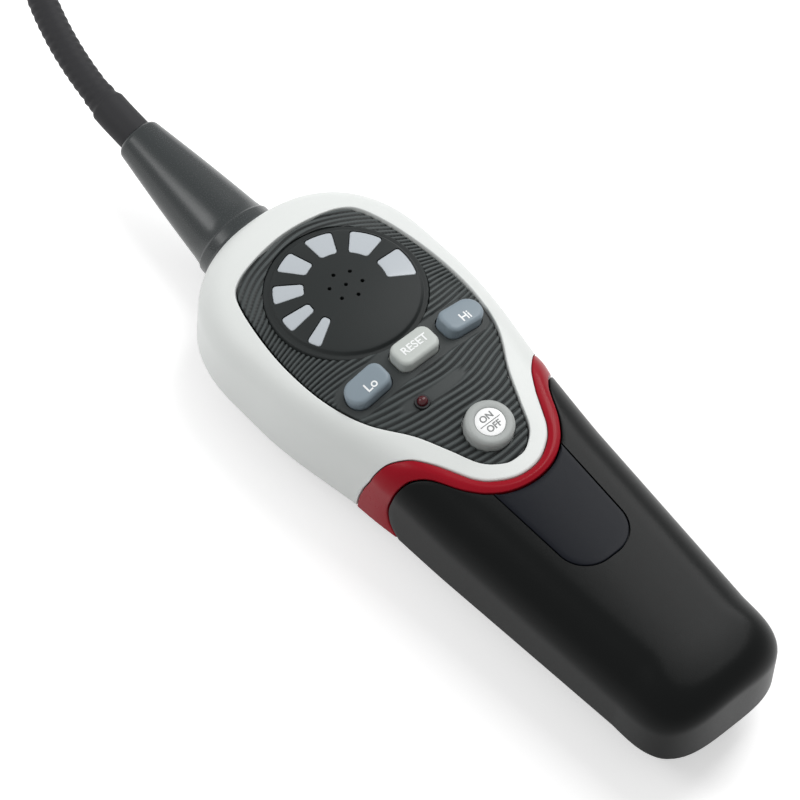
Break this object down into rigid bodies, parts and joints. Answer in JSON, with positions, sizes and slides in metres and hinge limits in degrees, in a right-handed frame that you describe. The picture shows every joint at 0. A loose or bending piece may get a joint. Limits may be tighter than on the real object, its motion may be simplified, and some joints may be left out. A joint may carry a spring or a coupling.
{
  "type": "refrigerant leak detector",
  "caption": "Hand-held refrigerant leak detector: domed head with keys and signal windows, tapered handle, nose cone and a flexible neck with a sensor tip.",
  "frame": {"origin": "on the flat of the back, below the middle of the indicator disc", "axes": "+Z out of the front with the keys, +Y along the handle towards the nose, +X to the user's right"},
  "size_m": [0.2416, 0.3206, 0.0419],
  "materials": {
    "white_shell": "fine satin",
    "black_case": "satin, fine grain",
    "red_trim": "gloss",
    "plate_black": "satin",
    "charcoal_panel": "ribbed, matt",
    "disc_grey": "satin",
    "window_clear": "translucent",
    "key_blue_grey": "satin",
    "key_warm_grey": "satin",
    "key_light_grey": "satin",
    "inlay_white": "gloss",
    "lamp_red": "clear, dark red",
    "nose_slate": "satin",
    "neck_rubber": "ribbed, matt",
    "steel": "plated",
    "brass": "turned",
    "board_green": "solder mask",
    "part_black": "moulded",
    "lamp_clear": "clear",
    "plug_white": "moulded",
    "filter_felt": "felt",
    "cell_wrap": "printed film over the can"
  },
  "bodies": {
    "housing": {"front_shell": "white_shell", "rear_case": "black_case", "red_band": "red_trim", "handle_front": "black_case", "handle_plate": "plate_black", "keypad_panel": "charcoal_panel", "indicator_disc": "disc_grey", "lamp_lens": "lamp_red", "lamp_bezel": "part_black", "nose_cone": "nose_slate", "neck_sleeve": "neck_rubber", "gooseneck": "neck_rubber", "neck_ferrule": "brass", "neck_nut": "steel", "tip_collar": "part_black", "sensor_cap": "steel", "tip_filter": "filter_felt", "sensor_element": "brass", "circuit_board": "board_green", "board_screws": "steel", "signal_lamps": "lamp_clear", "key_switches": "part_black", "sounder": "part_black", "control_chip": "part_black", "sensor_lead": "part_black", "lead_plug": "plug_white", "battery_contacts": "steel", "battery_door": "black_case", "door_screw": "steel", "case_screws": "steel", "signal_window_1": "window_clear", "signal_window_2": "window_clear", "signal_window_3": "window_clear", "signal_window_4": "window_clear", "signal_window_5": "window_clear", "signal_window_6": "window_clear", "signal_window_7": "window_clear", "battery_cell_1": "cell_wrap", "battery_cell_2": "cell_wrap", "battery_cell_3": "cell_wrap", "battery_cell_4": "cell_wrap"},
    "low_key": {"low_key": "key_blue_grey"},
    "reset_key": {"reset_key": "key_warm_grey"},
    "high_key": {"high_key": "key_blue_grey"},
    "power_key": {"power_key": "key_light_grey", "power_inlay": "inlay_white"}
  },
  "joints": [
    {"name": "low_key_press", "type": "slide", "parent": "housing", "child": "low_key", "axis": [0.2086, -0.0187, -0.9778], "range_m": [0, 0.0008], "stiffness_N_per_m": 1200, "springref_m": -0.0006},
    {"name": "reset_key_press", "type": "slide", "parent": "housing", "child": "reset_key", "axis": [0, -0.0191, -0.9998], "range_m": [0, 0.0008], "stiffness_N_per_m": 1200, "springref_m": -0.0006},
    {"name": "high_key_press", "type": "slide", "parent": "housing", "child": "high_key", "axis": [-0.2086, -0.0187, -0.9778], "range_m": [0, 0.0008], "stiffness_N_per_m": 1200, "springref_m": -0.0006},
    {"name": "power_key_press", "type": "slide", "parent": "housing", "child": "power_key", "axis": [0, 0.1041, -0.9946], "range_m": [0, 0.0008], "stiffness_N_per_m": 1200, "springref_m": -0.0006}
  ]
}
